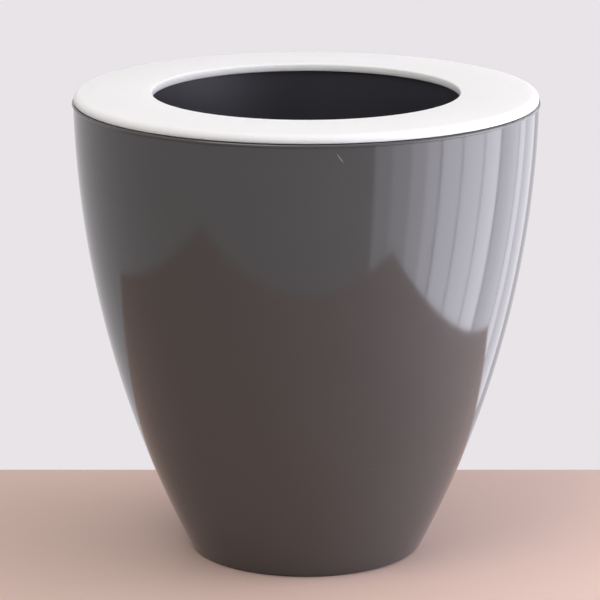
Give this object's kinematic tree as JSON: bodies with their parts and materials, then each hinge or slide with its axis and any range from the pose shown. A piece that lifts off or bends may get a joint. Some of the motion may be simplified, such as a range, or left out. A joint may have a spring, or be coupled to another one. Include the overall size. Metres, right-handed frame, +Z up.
{
  "type": "self-watering planter",
  "caption": "Round tapered self-watering planter: glossy pot as water reservoir, lift-out planting pot, white cover ring, wick cups, filler with lid, float gauge and drain plug.",
  "frame": {"origin": "middle of the base, on the surface that the planter stands on", "axes": "+Z up along the pot's axis; -Y is the front, where the filler and the gauge stand; +X to the right"},
  "size_m": [0.3, 0.3, 0.3043],
  "materials": {
    "pot_grey": "moulded high-gloss warm grey plastic",
    "ring_white": "moulded white plastic, soft gloss",
    "liner_dark": "moulded near-black plastic, satin",
    "gauge_clear": "clear moulded plastic",
    "float_pale": "pale closed-cell foam",
    "marker_red": "moulded red plastic",
    "pin_steel": "drawn stainless wire",
    "seal_rubber": "moulded black rubber"
  },
  "bodies": {
    "pot": {"outer_pot": "pot_grey"},
    "plug": {"drain_plug": "liner_dark", "drain_seal": "seal_rubber"},
    "liner": {"inner_pot": "liner_dark", "wick_cup_rear": "liner_dark", "wick_cup_left": "liner_dark", "wick_cup_right": "liner_dark", "filler_tube": "liner_dark", "filler_funnel": "liner_dark", "filler_lid_pin": "pin_steel", "gauge_tube": "gauge_clear", "gauge_cap": "gauge_clear", "gauge_strainer": "liner_dark", "handle_pin_left_front": "pin_steel", "handle_pin_left_rear": "pin_steel", "handle_pin_right_front": "pin_steel", "handle_pin_right_rear": "pin_steel"},
    "ring": {"cover_ring": "ring_white"},
    "lid": {"filler_lid": "liner_dark"},
    "float": {"gauge_float": "float_pale", "gauge_rod": "ring_white", "gauge_marker": "marker_red"},
    "handle_left": {"lift_handle_left": "liner_dark"},
    "handle_right": {"lift_handle_right": "liner_dark"}
  },
  "joints": [
    {"name": "liner_lift", "type": "slide", "parent": "pot", "child": "liner", "axis": [0, 0, 1], "range_m": [0, 0.3]},
    {"name": "ring_lift", "type": "slide", "parent": "liner", "child": "ring", "axis": [0, 0, 1], "range_m": [0, 0.08]},
    {"name": "plug_pull", "type": "slide", "parent": "pot", "child": "plug", "axis": [0, 0, -1], "range_m": [0, 0.015]},
    {"name": "lid_hinge", "type": "hinge", "parent": "liner", "child": "lid", "pos_m": [-0.0169, -0.03178, 0.2814], "axis": [-0.8829, 0.4695, 0], "range_deg": [0, 105]},
    {"name": "float_rise", "type": "slide", "parent": "liner", "child": "float", "axis": [0, 0, 1], "range_m": [0, 0.03]},
    {"name": "handle_left_swing", "type": "hinge", "parent": "liner", "child": "handle_left", "pos_m": [-0.08692, 0, 0.283], "axis": [0, -1, 0], "range_deg": [0, 170]},
    {"name": "handle_right_swing", "type": "hinge", "parent": "liner", "child": "handle_right", "pos_m": [0.08692, 0, 0.283], "axis": [0, 1, 0], "range_deg": [0, 170]}
  ]
}
